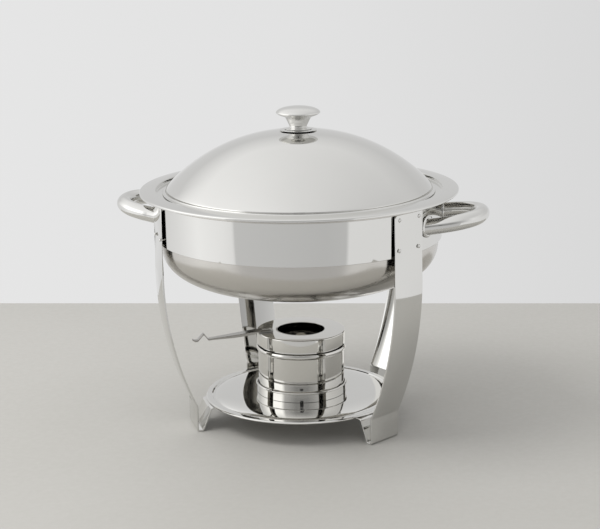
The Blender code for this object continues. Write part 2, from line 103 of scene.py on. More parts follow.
RIVET_SIDE = 0.0158
RIVET_HEIGHTS = (0.2250, 0.2583)
RIVET_PLACES = ("lower_left", "lower_right", "upper_left", "upper_right")
RIVET_TAIL_R = 0.1583           # distance of the tail's outer face from the dish's axis
RIVET_SHANK_R = 0.0015
RIVET_HEAD_R = 0.0021
RIVET_TAIL_H = 0.0007

HANDLE_TUBE_R = 0.00875
HANDLE_ROOT_Z = 0.2425
HANDLE_TILT = math.radians(8.0)
HANDLE_ROOT_ANGLE = 16.3
HANDLE_HALF_LOOP = ((0.0452, 0.1600), (0.0425, 0.1740), (0.0350, 0.1900), (0.0200, 0.2030))
HANDLE_TIP = 0.2072
FLANGE_DISC_R = 0.0125
FLANGE_DISC_H = 0.0022

TRAY_SHEET = 0.0010
TRAY_FLAT_R = 0.0680            # the flat seat ends here and the roll down begins
TRAY_ROLL_R = 0.1010            # the roll ends here
TRAY_GROOVE_R = 0.1030
TRAY_RIM_RISE = 0.0012
COLLAR_INNER_R = 0.0503
COLLAR_SHEET = 0.0012
CUP_SHEET = 0.0009
CUP_WALL_R = 0.0497
CUP_NECK_R = 0.0475
CUP_BEAD_LOW = 0.0818
CUP_BEAD_HIGH = 0.0878
CAP_SHEET = 0.0009
CAP_HOLE_R = 0.0274

LEVER_AZIMUTH = -63.0
LEVER_RIVETS = (0.0375, 0.0428)
LEVER_WEB = 0.0012
LEVER_ROOT = 0.0330             # distances of its two ends from the axis
LEVER_TIP = 0.1267
LEVER_STEP = 0.0015             # spacing of its cross sections
LEVER_HALF_WIDTH = 0.0060
LEVER_NARROWING = 0.0026
LEVER_SKIRT = (0.0525, 0.1030)  # the channel's sides reach deeper between these distances
LEVER_SKIRT_DEPTH = 0.0014
LEVER_RIM = 0.0005
LEVER_LIP = 0.0010
LEVER_SOFT = 0.0004             # softening of its top edges

# camera, and the table beneath, as seen from the camera's side
CAMERA_AZIMUTH = 14.8
CAMERA_ROLL = 0.75
CAMERA_DISTANCE = 1.775
CAMERA_HEIGHT = 0.614
CAMERA_PITCH = 13.7
CAMERA_LENS = 95.8
CAMERA_BLOCK = (0.30, 0.12, 0.12)
TABLE_TURN = 2.9
TABLE_FAR, TABLE_NEAR = -0.504, 0.42
TABLE_LEFT, TABLE_RIGHT = -0.64, 0.66
TABLE_THICK = 0.030

# grey levels of the studio by the angle round the dish, from the camera's side towards its
# right: below the horizon, and a little above it
LOW_LEVELS = ((-180.0, 0.760), (-168.0, 0.790), (-150.0, 0.76), (-113.0, 0.93), (-88.0, 1.11),
              (-63.0, 1.02), (-54.0, 0.95), (-52.0, 0.68), (-20.0, 0.65), (20.0, 0.61),
              (37.0, 0.63), (39.0, 0.90), (90.0, 0.89), (140.0, 0.80), (168.0, 0.685),
              (180.0, 0.760))
MIDDLE_LEVELS = ((-180.0, 0.68), (-140.0, 0.76), (-120.0, 1.15), (-95.0, 1.80), (-55.0, 1.80),
                 (-45.0, 0.70), (-15.0, 0.35), (15.0, 0.35), (45.0, 0.60), (70.0, 0.95),
                 (140.0, 0.68), (180.0, 0.68))
# grey levels overhead, by the lean of the direction towards the camera's right
HIGH_LEVELS = ((-1.0, 1.22), (0.0, 0.92), (1.0, 0.68))
LOW_TO_MIDDLE = (-0.04, 0.10)   # upward parts of a direction between which the levels change
MIDDLE_TO_HIGH = (0.35, 0.65)
STUDIO_STRENGTH = 2.0           # ramps hold levels over this, because they stop at 1

KEY_PLACE = (-0.90, 0.30, 1.50)
KEY_TARGET = Vector((0.0, 0.0, 0.10))
KEY_SIZE = 0.8
KEY_POWER = 13.0


# ---------------------------------------------------------------- shape helpers
def radial(azimuth):
    """Unit vector out from the axis at an azimuth, counted from the front towards +X."""
    angle = math.radians(azimuth)
    return Vector((math.sin(angle), -math.cos(angle), 0.0))


def outline(corners, steps=6, closed=False):
    """Path through (x, y, radius) corners, each turned on an arc of its own radius."""
    path = []
    count = len(corners)
    for index, (x, y, radius) in enumerate(corners):
        corner = Vector((x, y))
        if radius == 0.0 or (not closed and index in (0, count - 1)):
            path.append(corner)
            continue
        towards = (Vector(corners[index - 1][:2]) - corner).normalized()
        away = (Vector(corners[(index + 1) % count][:2]) - corner).normalized()
        half = 0.5 * towards.angle(away)
        if abs(half - 0.5 * math.pi) < STRAIGHT:
            path.append(corner)
            continue
        centre = corner + (towards + away).normalized() * (radius / math.sin(half))
        start = corner + towards * (radius / math.tan(half)) - centre
        end = corner + away * (radius / math.tan(half)) - centre
        turn = start.angle(end)
        for step in range(steps + 1):
            share = step / steps
            arm = start * math.sin((1.0 - share) * turn) + end * math.sin(share * turn)
            path.append(centre + arm / math.sin(turn))
    return path


def mesh_object(name, points, faces, sharp=40.0):
    """A smooth mesh object with its faces turned out."""
    mesh = bpy.data.meshes.new(name)
    mesh.from_pydata([tuple(point) for point in points], [], faces)
    shape = bmesh.new()
    shape.from_mesh(mesh)
    bmesh.ops.remove_doubles(shape, verts=shape.verts, dist=ON_AXIS)
    bmesh.ops.recalc_face_normals(shape, faces=shape.faces)
    shape.to_mesh(mesh)
    shape.free()
    mesh.shade_smooth()
    mesh.set_sharp_from_angle(angle=math.radians(sharp))
    piece = bpy.data.objects.new(name, mesh)
    bpy.context.scene.collection.objects.link(piece)
    return piece


def turned(name, section, segments=TURN_SEGMENTS, closed=False, matrix=None, sharp=40.0):
    """Turn a section of (radius, height) points round Z."""
    points = []
    starts = []
    for r, z in section:
        starts.append(len(points))
        if r < ON_AXIS:
            points.append(Vector((0.0, 0.0, z)))
            continue
        for index in range(segments):
            angle = math.tau * index / segments
            points.append(Vector((r * math.cos(angle), r * math.sin(angle), z)))
    on_axis = [r < ON_AXIS for r, z in section]
    pairs = list(zip(range(len(section)), range(1, len(section))))
    if closed:
        pairs.append((len(section) - 1, 0))
    faces = []
    for top, low in pairs:
        for index in range(segments):
            after = (index + 1) % segments
            corners = [starts[top] + (0 if on_axis[top] else index),
                       starts[low] + (0 if on_axis[low] else index),
                       starts[low] + (0 if on_axis[low] else after),
                       starts[top] + (0 if on_axis[top] else after)]
            face = list(dict.fromkeys(corners))
            if len(face) > 2:
                faces.append(face)
    if matrix is not None:
        points = [matrix @ point for point in points]
    return mesh_object(name, points, faces, sharp)


def lofted(name, rings, sharp=40.0):
    """Skin a row of equal rings and cap both ends."""
    points = [point for ring in rings for point in ring]
    size = len(rings[0])
    faces = []
    for row in range(len(rings) - 1):
        for index in range(size):
            after = (index + 1) % size
            faces.append((row * size + index, row * size + after,
                          (row + 1) * size + after, (row + 1) * size + index))
    faces.append(tuple(range(size))[::-1])
    faces.append(tuple(range((len(rings) - 1) * size, len(rings) * size)))
    return mesh_object(name, points, faces, sharp)


def curve_points(controls, steps):
    """Smooth path through control points, by Catmull-Rom pieces."""
    before = controls[0] * 2.0 - controls[1]
    after = controls[-1] * 2.0 - controls[-2]
    ends = [before] + list(controls) + [after]
    path = []
    for a, b, c, d in zip(ends, ends[1:], ends[2:], ends[3:]):
        for step in range(steps):
            t = step / steps
            path.append(0.5 * (b * 2.0 + (c - a) * t
                               + (a * 2.0 - b * 5.0 + c * 4.0 - d) * t * t
                               + (b * 3.0 - a - c * 3.0 + d) * t * t * t))
    path.append(controls[-1])
    return path


def along(direction, centre):
    """Matrix that carries +Z to a direction, at a centre."""
    return Matrix.Translation(centre) @ direction.to_track_quat("Z", "Y").to_matrix().to_4x4()


# ---------------------------------------------------------------- materials
def nodes_of(name):
    material = bpy.data.materials.new(name)
    material.use_nodes = True
    tree = material.node_tree
    return material, tree, tree.nodes["Principled BSDF"]


def noise(tree, vector, scale, detail, roughness=0.5):
    node = tree.nodes.new("ShaderNodeTexNoise")
    node.inputs["Scale"].default_value = scale
    node.inputs["Detail"].default_value = detail
    node.inputs["Roughness"].default_value = roughness
    tree.links.new(vector, node.inputs["Vector"])
    return node.outputs["Fac"]


def ranged(tree, value, low, high, start=0.3, end=0.7):
    node = tree.nodes.new("ShaderNodeMapRange")
    node.inputs["From Min"].default_value = start
    node.inputs["From Max"].default_value = end
    node.inputs["To Min"].default_value = low
    node.inputs["To Max"].default_value = high
    tree.links.new(value, node.inputs["Value"])
    return node.outputs["Result"]


def blended(tree, factor, dark, light):
    node = tree.nodes.new("ShaderNodeMix")
    node.data_type = "RGBA"
    node.inputs["A"].default_value = (*dark, 1.0)
    node.inputs["B"].default_value = (*light, 1.0)
    tree.links.new(factor, node.inputs["Factor"])
    return node.outputs["Result"]


def bumped(tree, height, distance, strength, normal=None):
    node = tree.nodes.new("ShaderNodeBump")
    node.inputs["Distance"].default_value = distance
    node.inputs["Strength"].default_value = strength
    tree.links.new(height, node.inputs["Height"])
    if normal is not None:
        tree.links.new(normal, node.inputs["Normal"])
    return node.outputs["Normal"]


def object_vector(tree):
    return tree.nodes.new("ShaderNodeTexCoord").outputs["Object"]


def turned_vector(tree):
    """Coordinates of radius, shortened angle and height: noise drawn out into circles."""
    split = tree.nodes.new("ShaderNodeSeparateXYZ")
    tree.links.new(object_vector(tree), split.inputs["Vector"])
    flat = tree.nodes.new("ShaderNodeCombineXYZ")
    tree.links.new(split.outputs["X"], flat.inputs["X"])
    tree.links.new(split.outputs["Y"], flat.inputs["Y"])
    length = tree.nodes.new("ShaderNodeVectorMath")
    length.operation = "LENGTH"
    tree.links.new(flat.outputs["Vector"], length.inputs[0])
    angle = tree.nodes.new("ShaderNodeMath")
    angle.operation = "ARCTAN2"
    tree.links.new(split.outputs["Y"], angle.inputs[0])
    tree.links.new(split.outputs["X"], angle.inputs[1])
    short = tree.nodes.new("ShaderNodeMath")
    short.operation = "MULTIPLY"
    short.inputs[1].default_value = 0.004
    tree.links.new(angle.outputs["Value"], short.inputs[0])
    joined = tree.nodes.new("ShaderNodeCombineXYZ")
    tree.links.new(length.outputs["Value"], joined.inputs["X"])
    tree.links.new(short.outputs["Value"], joined.inputs["Y"])
    tree.links.new(split.outputs["Z"], joined.inputs["Z"])
    return joined.outputs["Vector"]


def polished_steel(name, tint=(0.735, 0.73, 0.71), rough=(0.020, 0.055), wave=0.00003):
    """Mirror-polished stainless steel: slight waves, faint smears and a hairline polish."""
    material, tree, shader = nodes_of(name)
    place = object_vector(tree)
    smear = noise(tree, place, 16.0, 3.0)
    darker = tuple(0.965 * channel for channel in tint)
    tree.links.new(blended(tree, smear, darker, tint), shader.inputs["Base Color"])
    tree.links.new(ranged(tree, smear, *rough), shader.inputs["Roughness"])
    waves = bumped(tree, noise(tree, place, 11.0, 1.0), wave, 1.0)
    hairlines = noise(tree, turned_vector(tree), 900.0, 2.0)
    tree.links.new(bumped(tree, hairlines, 0.000001, 0.35, waves), shader.inputs["Normal"])
    shader.inputs["Metallic"].default_value = 1.0
    return material


def satin_steel(name, tint=(0.63, 0.61, 0.575)):
    """Satin stainless steel, brushed round the axis."""
    material, tree, shader = nodes_of(name)
    grain = noise(tree, turned_vector(tree), 1900.0, 4.0, 0.65)
    cloud = noise(tree, object_vector(tree), 9.0, 3.0)
    darker = tuple(0.90 * channel for channel in tint)
    tree.links.new(blended(tree, grain, darker, tint), shader.inputs["Base Color"])
    tree.links.new(ranged(tree, cloud, 0.15, 0.23), shader.inputs["Roughness"])
    tree.links.new(bumped(tree, grain, 0.000012, 0.6), shader.inputs["Normal"])
    shader.inputs["Metallic"].default_value = 1.0
    return material


POLISHED = polished_steel("polished_stainless")
DOME_POLISH = polished_steel("dome_stainless", wave=0.00002)
SATIN = satin_steel("satin_stainless")
BURNER_POLISH = polished_steel("burner_stainless", (0.72, 0.71, 0.68), (0.03, 0.07), 0.00002)
LEVER_STEEL = polished_steel("lever_stainless", (0.42, 0.41, 0.39), (0.10, 0.20), 0.00001)
FASTENER = polished_steel("fastener_stainless", (0.70, 0.69, 0.67), (0.12, 0.20), 0.00001)


def install(piece, body, slot, material, *nodes):
    """Give a piece its steel, its body and the CAD nodes that it stands for."""
    piece.data.materials.clear()
    piece.data.materials.append(material)
    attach(piece, body)
    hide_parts(*nodes)
    return piece


# ---------------------------------------------------------------- lid
def dome(radius, edge, rise, start, count):
    """Points of the dome from its middle out to its edge."""
    first = math.asin(start / radius)
    points = []
    for index in range(count + 1):
        r = radius * math.sin(first + (0.5 * math.pi - first) * index / count)
        fall = max(1.0 - (r / radius) ** LID_CURVE[0], 0.0) ** LID_CURVE[1]
        points.append(Vector((r, edge + rise * fall)))
    return points


def make_lid():
    low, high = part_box("lid_dome")
    rim = high.x
    radius = rim - LID_RIM_WIDTH
    edge = low.z + LID_EDGE_RISE
    rise = high.z - edge
    rim_top = low.z + LID_SHEET
    inner = radius - LID_SHEET
    outer = dome(radius, edge, rise, SCREW_HOLE_R, 80)
    foot = outline([(radius, edge, 0.0), (radius, rim_top, LID_CORNER_R), (rim, rim_top, 0.0004),
                    (rim, low.z, 0.0004), (inner, low.z, 0.0012), (inner, edge, 0.0)])[1:-1]
    under = dome(inner, edge, rise - LID_SHEET, SCREW_HOLE_R, 48)[::-1]
    shell = turned("lid_dome_shell", outer + foot + under, closed=True, sharp=30.0)
    install(shell, "lid", "polished_steel", DOME_POLISH, "lid_dome")

    low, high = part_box("knob_base_washer")
    section = outline([(SCREW_HOLE_R, high.z, 0.0), (high.x - 0.0030, high.z, 0.0040),
                       (high.x, low.z + 0.0003, 0.00012), (high.x, low.z, 0.0),
                       (SCREW_HOLE_R, low.z, 0.0)])
    disc = turned("knob_base_disc", section, SMALL_SEGMENTS, closed=True)
    install(disc, "lid", "polished_steel", POLISHED, "knob_base_washer")

    low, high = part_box("lid_knob")
    bore_top = low.z + KNOB_BORE_DEPTH
    smooth = curve_points([Vector((r, low.z + rise)) for r, rise in KNOB_OUTLINE], 5)
    foot = [Vector((KNOB_SEAT_R, low.z + 0.0003)), Vector((KNOB_SEAT_R, low.z))]
    bore = [Vector((KNOB_BORE_R, low.z)), Vector((KNOB_BORE_R, bore_top)), Vector((0.0, bore_top))]
    knob = turned("lid_knob_turned", smooth + foot + bore, SMALL_SEGMENTS, sharp=35.0)
    install(knob, "lid", "polished_steel", POLISHED, "lid_knob")
    # the screw and its washer, under the dome, stay as the CAD made them
    for node in ("knob_screw", "knob_inner_washer"):
        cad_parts[node].data.materials.clear()
        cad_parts[node].data.materials.append(FASTENER)


# ---------------------------------------------------------------- pans and band
def bowl(radius, top, depth, power, count):
    """Points down the outside of a bowl, from its wall to the axis."""
    points = []
    for index in range(count + 1):
        angle = 0.5 * math.pi * index / count
        across = max(math.cos(angle), 0.0) ** (2.0 / power)
        r = radius * across if index < count else 0.0
        points.append(Vector((r, top - depth * math.sin(angle) ** (2.0 / power))))
    return points


def make_food_pan():
    low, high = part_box("food_pan")
    rim = high.x
    rim_inner = rim - SHEET
    lip = high.z - FOOD_LIP_DROP
    step = FOOD_STEP_R
    ledge = high.z - FOOD_LEDGE_DROP
    wall = FOOD_WALL_R
    inner = wall - SHEET
    bowl_top = low.z + FOOD_BOWL_DEPTH
    wall_low = bowl_top + WALL_START
    section = bowl(inner, bowl_top, FOOD_BOWL_DEPTH - SHEET, FOOD_BOWL_POWER, 28)[::-1]
    section += outline([(inner, wall_low, 0.0), (inner, ledge, 0.0012),
                        (step, ledge, 0.0010), (step, high.z, 0.0011),
                        (rim, high.z - 0.0012, 0.0014), (rim, lip, 0.0005),
                        (rim_inner, lip, 0.0004), (rim_inner, high.z - 2.0 * SHEET, 0.0004),
                        (step + SHEET, high.z - SHEET, 0.0003),
                        (step + SHEET, ledge - SHEET, 0.0014),
                        (wall, ledge - SHEET, 0.0005), (wall, wall_low, 0.0)])
    section += bowl(wall, bowl_top, FOOD_BOWL_DEPTH, FOOD_BOWL_POWER, 28)
    pan = turned("food_pan_pressed", section)
    install(pan, "food_pan", "polished_steel", POLISHED, "food_pan")


def make_water_pan():
    low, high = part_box("water_pan")
    bowl_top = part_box("band_ring")[0].z
    wall_low = bowl_top + WALL_START
    depth = bowl_top - low.z
    rim = high.x
    rim_inner = rim - SHEET
    lip = high.z - WATER_LIP_DROP
    wall = WATER_WALL_R
    inner = wall - SHEET
    neck = WATER_NECK_R
    section = bowl(inner, bowl_top, depth - SHEET, WATER_BOWL_POWER, 48)[::-1]
    section += outline([(inner, wall_low, 0.0), (inner, WATER_NECK_LOW, 0.0020),
                        (neck - SHEET, WATER_NECK_HIGH, 0.0016), (neck - SHEET, high.z, 0.0010),
                        (rim, high.z, 0.0010), (rim, lip, 0.0005),
                        (rim_inner, lip, 0.0004), (rim_inner, high.z - SHEET, 0.0003),
                        (neck, high.z - SHEET, 0.0002), (neck, WATER_NECK_HIGH, 0.0006),
                        (wall, WATER_NECK_LOW, 0.0010), (wall, wall_low, 0.0)])
    section += bowl(wall, bowl_top, depth, WATER_BOWL_POWER, 64)
    pan = turned("water_pan_pressed", section)
    install(pan, "water_pan", "satin_steel", SATIN, "water_pan")


def make_band():
    low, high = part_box("band_ring")
    outer = high.x
    section = outline([(BAND_INNER_R, high.z, 0.0003), (outer, high.z, 0.0004),
                       (outer, low.z, 0.0005), (BAND_INNER_R, low.z, 0.0003)], closed=True)
    band = turned("band_rolled", section, closed=True)
    install(band, "frame", "polished_steel", POLISHED, "band_ring")


# ---------------------------------------------------------------- legs and rivets
def leg_arc(middle, angle):
    """Point of a leg's long arc, which starts at a middle radius and turns inwards."""
    return Vector((middle - LEG_ARC_R * (1.0 - math.cos(angle)),
                   LEG_BEND_START - LEG_ARC_R * math.sin(angle)))


def leg_path():
    """Middle line of a leg as (radius, height), from its top to the end of the tray's tab."""
    band_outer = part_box("band_ring")[1].x
    middle = band_outer + GAP + 0.5 * LEG_SHEET
    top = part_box("leg_front_left")[1].z
    path = [Vector((middle, top)), Vector((middle, LEG_BEND_START + 0.001))]
    steps = 56
    for index in range(steps):
        path.append(leg_arc(middle, LEG_ARC_ANGLE * index / steps))
    knee = leg_arc(middle, LEG_ARC_ANGLE)
    sole = 0.5 * LEG_SHEET
    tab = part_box("burner_tray")[0].z - GAP - 0.5 * LEG_SHEET
    foot = outline([(path[-1].x, path[-1].y, 0.0), (*knee, 0.0050), (knee.x, sole, 0.0018),
                    (knee.x - FOOT_FLAT, sole, 0.0024), (TAB_OUTER_R, tab, 0.0030),
                    (TAB_INNER_R, tab, 0.0)], steps=7)
    return path[:-1] + foot


def make_leg(name, azimuth, path):
    out = radial(azimuth)
    side = Vector((-out.y, out.x, 0.0))
    half_wide = 0.5 * LEG_WIDTH
    half_thick = 0.5 * LEG_SHEET
    edge = outline([(-half_wide, -half_thick, LEG_EDGE_R), (half_wide, -half_thick, LEG_EDGE_R),
                    (half_wide, half_thick, LEG_EDGE_R), (-half_wide, half_thick, LEG_EDGE_R)],
                   steps=4, closed=True)
    rings = []
    for index, point in enumerate(path):
        before = path[max(index - 1, 0)]
        after = path[min(index + 1, len(path) - 1)]
        run = (after - before).normalized()
        normal = Vector((-run.y, run.x))
        rings.append([out * (point.x + normal.x * v) + side * u
                      + Vector((0, 0, point.y + normal.y * v)) for u, v in edge])
    rounded_top = []
    steps = 6
    for step in range(steps + 1):
        angle = 0.5 * math.pi * step / steps
        drop = LEG_TOP_CORNER * (1.0 - math.sin(angle))
        inset = LEG_TOP_CORNER * (1.0 - math.cos(angle))
        centre = path[0] - Vector((0.0, drop))
        rounded_top.append([out * (centre.x - v) + side * math.copysign(abs(u) - inset, u)
                            + Vector((0, 0, centre.y)) for u, v in edge])
    rings = rounded_top[::-1] + rings[1:]
    piece = lofted("leg_strap_" + name, rings, sharp=50.0)
    install(piece, "frame", "polished_steel", POLISHED, "leg_" + name)


def make_leg_rivets(name, azimuth):
    out = radial(azimuth)
    side = Vector((-out.y, out.x, 0.0))
    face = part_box("band_ring")[1].x + GAP + LEG_SHEET
    tail = RIVET_TAIL_R - face
    end = tail - RIVET_TAIL_H
    shank = RIVET_SHANK_R
    head = RIVET_HEAD_R
    section = outline([(0.0, 0.0008, 0.0), (0.0014, 0.00072, 0.0030), (head, 0.0001, 0.0003),
                       (head - 0.0001, 0.0, 0.0), (shank, 0.0, 0.0), (shank, tail, 0.0),
                       (head, tail, 0.0), (head, end, 0.0002), (0.0, end, 0.0)])
    places = [(sign, height) for height in RIVET_HEIGHTS for sign in (-1, 1)]
    for label, (sign, height) in zip(RIVET_PLACES, places):
        centre = out * face + side * (sign * RIVET_SIDE) + Vector((0, 0, height))
        node = "rivet_" + name + "_" + label
        rivet = turned(node + "_turned", section, RIVET_SEGMENTS, matrix=along(out, centre))
        install(rivet, "frame", "fastener_steel", FASTENER, node)


# ---------------------------------------------------------------- handles
def make_handle(name, azimuth):
    """Tube loop, cut off on the faces of the two discs that hold it to the band."""
    out = radial(azimuth)
    side = Vector((-out.y, out.x, 0.0))
    half = [Vector((-s, o, 0.0)) for s, o in HANDLE_HALF_LOOP]
    other = [Vector((-p.x, p.y, 0.0)) for p in half[::-1]]
    flat = curve_points(half + [Vector((0.0, HANDLE_TIP, 0.0))] + other, 14)
    band_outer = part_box("band_ring")[1].x
    path = []
    for point in flat:
        rise = (point.y - band_outer) * math.tan(HANDLE_TILT)
        path.append(out * point.y + side * point.x + Vector((0, 0, HANDLE_ROOT_Z + rise)))
    rings = []
    for index, point in enumerate(path):
        before = path[max(index - 1, 0)]
        after = path[min(index + 1, len(path) - 1)]
        run = (after - before).normalized()
        up = Vector((0, 0, 1))
        across = run.cross(up).normalized()
        up = across.cross(run).normalized()
        ring = []
        for spoke in range(TUBE_SIDES):
            angle = math.tau * spoke / TUBE_SIDES
            ring.append(point + (across * math.cos(angle) + up * math.sin(angle)) * HANDLE_TUBE_R)
        rings.append(ring)
    disc_face = band_outer + GAP + FLANGE_DISC_H
    first_normal = radial(azimuth - HANDLE_ROOT_ANGLE)
    last_normal = radial(azimuth + HANDLE_ROOT_ANGLE)
    for row, neighbour, normal in ((0, 1, first_normal), (-1, -2, last_normal)):
        run = (path[neighbour] - path[row]).normalized()
        for spoke, point in enumerate(rings[row]):
            reach = (disc_face - point.dot(normal)) / run.dot(normal)
            rings[row][spoke] = point + run * reach
    kept = []
    for row, ring in enumerate(rings):
        normal = first_normal if row < len(rings) / 2 else last_normal
        nearest = min(point.dot(normal) for point in ring)
        if row in (0, len(rings) - 1) or nearest > disc_face + 0.0004:
            kept.append(ring)
    loop = lofted(name + "_tube", kept, sharp=50.0)
    install(loop, "frame", "polished_steel", POLISHED, name)

    section = outline([(0.0, FLANGE_DISC_H, 0.0), (0.0105, FLANGE_DISC_H, 0.0008),
                       (0.0123, 0.0014, 0.0008), (FLANGE_DISC_R, 0.0, 0.0), (0.0, 0.0, 0.0)])
    turn = 1 if azimuth > 0 else -1
    for label, sign in (("front", -1), ("rear", 1)):
        normal = radial(azimuth + sign * turn * HANDLE_ROOT_ANGLE)
        centre = normal * (band_outer + GAP) + Vector((0, 0, HANDLE_ROOT_Z))
        disc = turned(name + "_disc_" + label, section, DISC_SEGMENTS,
                      matrix=along(normal, centre))
        install(disc, "frame", "polished_steel", POLISHED, name + "_flange_" + label)


# ---------------------------------------------------------------- tray and burner
def make_tray():
    low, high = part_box("burner_tray")
    rim = high.x
    edge_top = low.z + TRAY_SHEET
    rim_top = edge_top + TRAY_RIM_RISE
    roll_end = edge_top + 0.0001
    roll = []
    steps = 40
    for index in range(steps + 1):
        share = index / steps
        r = TRAY_FLAT_R + (TRAY_ROLL_R - TRAY_FLAT_R) * share
        fall = 1.0 - math.sqrt(max(1.0 - share * share, 0.0))
        roll.append(Vector((r, high.z - (high.z - roll_end) * fall)))
    edge = outline([(TRAY_ROLL_R, roll_end, 0.0), (TRAY_GROOVE_R, edge_top, 0.0006),
                    (TRAY_GROOVE_R + 0.0014, rim_top, 0.0008), (rim - 0.0012, rim_top, 0.0010),
                    (rim, edge_top, 0.0006), (rim, low.z, 0.0002), (rim - 0.0010, low.z, 0.0),
                    (TRAY_GROOVE_R, low.z, 0.0)])
    under = [point - Vector((0.0, TRAY_SHEET)) for point in roll[::-1]]
    middle = [Vector((0.0, high.z)), Vector((0.0, high.z - TRAY_SHEET))]
    section = middle[:1] + roll + edge[1:] + under + middle[1:]
    tray = turned("burner_tray_pressed", section)
    install(tray, "frame", "polished_steel", POLISHED, "burner_tray")


def make_collar():
    low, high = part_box("burner_collar")
    inner = COLLAR_INNER_R
    outer = inner + COLLAR_SHEET
    section = outline([(inner, high.z - 0.0004, 0.0003), (outer, high.z, 0.0008),
                       (high.x, high.z - 0.0004, 0.0006), (high.x, high.z - 0.0016, 0.0005),
                       (outer, high.z - 0.0022, 0.0004), (outer, low.z, 0.0), (inner, low.z, 0.0)],
                      closed=True)
    collar = turned("burner_collar_rolled", section, closed=True)
    install(collar, "frame", "burner_steel", BURNER_POLISH, "burner_collar")


def make_cup():
    low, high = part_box("burner_cup")
    floor = low.z + CUP_SHEET
    bead = high.x
    wall = CUP_WALL_R
    inner = wall - CUP_SHEET
    neck = CUP_NECK_R
    neck_inner = neck - CUP_SHEET
    section = outline([(0.0, floor, 0.0), (inner, floor, 0.0020),
                       (inner, CUP_BEAD_LOW, 0.0010), (neck_inner, CUP_BEAD_HIGH - 0.0010, 0.0010),
                       (neck_inner, high.z, 0.0003), (neck, high.z, 0.0004),
                       (neck, CUP_BEAD_HIGH, 0.0006), (bead - 0.0006, CUP_BEAD_HIGH, 0.0012),
                       (bead, 0.0850, 0.0018), (bead - 0.0004, 0.0834, 0.0010),
                       (wall, CUP_BEAD_LOW, 0.0008), (wall, low.z, 0.0022), (0.0, low.z, 0.0)])
    cup = turned("burner_cup_drawn", section)
    install(cup, "burner_cup", "burner_steel", BURNER_POLISH, "burner_cup")


def make_cap():
    low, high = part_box("burner_cap")
    hole = CAP_HOLE_R
    rim = high.x
    inner = rim - CAP_SHEET
    under = high.z - CAP_SHEET
    section = outline([(hole, high.z + 0.0002, 0.0003), (hole + 0.0014, high.z, 0.0010),
                       (rim, high.z, 0.0013), (rim, low.z, 0.0002), (inner, low.z, 0.0002),
                       (inner, under, 0.0006), (hole, under, 0.0002)], closed=True)
    cap = turned("burner_cap_drawn", section, closed=True)
    install(cap, "burner_cap", "burner_steel", BURNER_POLISH, "burner_cap")


def make_lever():
    """Channel lever on the cap, with its kink and its turned-up tip."""
    cap_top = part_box("burner_cap")[1].z
    top = cap_top + GAP + LEVER_RIM + LEVER_WEB
    line = outline([(LEVER_ROOT, top, 0.0), (0.0530, top, 0.0500), (0.1085, top - 0.0056, 0.0012),
                    (0.1138, top + 0.0014, 0.0010), (0.1208, top - 0.0063, 0.0016),
                    (0.1238, top - 0.0063, 0.0020), (LEVER_TIP, top - 0.0048, 0.0)], steps=10)
    dense = []
    for start, end in zip(line, line[1:]):
        pieces = max(1, int((end - start).length / LEVER_STEP))
        dense += [start.lerp(end, step / pieces) for step in range(pieces)]
    dense.append(line[-1])
    out = radial(LEVER_AZIMUTH)
    side = Vector((-out.y, out.x, 0.0))
    rings = []
    skirt_start, skirt_end = LEVER_SKIRT
    for point in dense:
        r = point.x
        nose = min(1.0, math.sqrt(max(r - LEVER_ROOT, 0.0) / 0.0030) * 0.55 + 0.45)
        tail = min(1.0, 0.5 + 0.5 * math.sqrt(max(LEVER_TIP - r, 0.0) / 0.0020))
        taper = min(max((r - 0.0700) / 0.0380, 0.0), 1.0)
        half = (LEVER_HALF_WIDTH - LEVER_NARROWING * taper) * nose * tail
        deeper = min((r - skirt_start) / 0.0030, 1.0, (skirt_end - r) / 0.0250)
        under = point.y - LEVER_WEB
        foot = under - LEVER_RIM - LEVER_SKIRT_DEPTH * max(deeper, 0.0)
        inner = half - LEVER_LIP
        flat = half - LEVER_SOFT
        shoulder = point.y - LEVER_SOFT
        ring = [(-flat, point.y), (flat, point.y), (half, shoulder), (half, foot), (inner, foot),
                (inner, under), (-inner, under), (-inner, foot), (-half, foot), (-half, shoulder)]
        rings.append([out * r + side * across + Vector((0, 0, z)) for across, z in ring])
    lever = lofted("burner_lever_pressed", rings, sharp=35.0)
    install(lever, "burner_cap", "burner_steel", LEVER_STEEL, "burner_lever")

    tail = cap_top - CAP_SHEET - GAP - (top + GAP)
    end = tail - 0.0006
    section = outline([(0.0, 0.0008, 0.0), (0.0016, 0.0006, 0.0030), (0.0024, 0.0, 0.0002),
                       (0.0012, 0.0, 0.0), (0.0012, tail, 0.0), (0.0021, tail, 0.0),
                       (0.0021, end, 0.0), (0.0, end, 0.0)])
    for label, distance in zip(("inner", "outer"), LEVER_RIVETS):
        place = Matrix.Translation(out * distance + Vector((0, 0, top + 0.00005)))
        rivet = turned("lever_rivet_" + label + "_turned", section, RIVET_SEGMENTS, matrix=place)
        install(rivet, "burner_cap", "fastener_steel", FASTENER, "lever_rivet_" + label)


# ---------------------------------------------------------------- table, light and camera
def to_world(right, towards, height):
    """A place given from the camera's side: to its right, towards it, and up."""
    angle = math.radians(CAMERA_AZIMUTH)
    return Vector((math.cos(angle) * right + math.sin(angle) * towards,
                   math.sin(angle) * right - math.cos(angle) * towards, height))


def softened_block(name, size, softening, place, turn):
    """Box with softened edges, turned about the vertical by an angle in degrees."""
    shape = bmesh.new()
    bmesh.ops.create_cube(shape, size=1.0, matrix=Matrix.Diagonal((*size, 1.0)))
    bmesh.ops.bevel(shape, geom=shape.edges[:], offset=softening, segments=3, affect="EDGES")
    mesh = bpy.data.meshes.new(name)
    shape.to_mesh(mesh)
    shape.free()
    block = bpy.data.objects.new(name, mesh)
    block.location = place
    block.rotation_euler.z = math.radians(turn)
    bpy.context.scene.collection.objects.link(block)
    return block


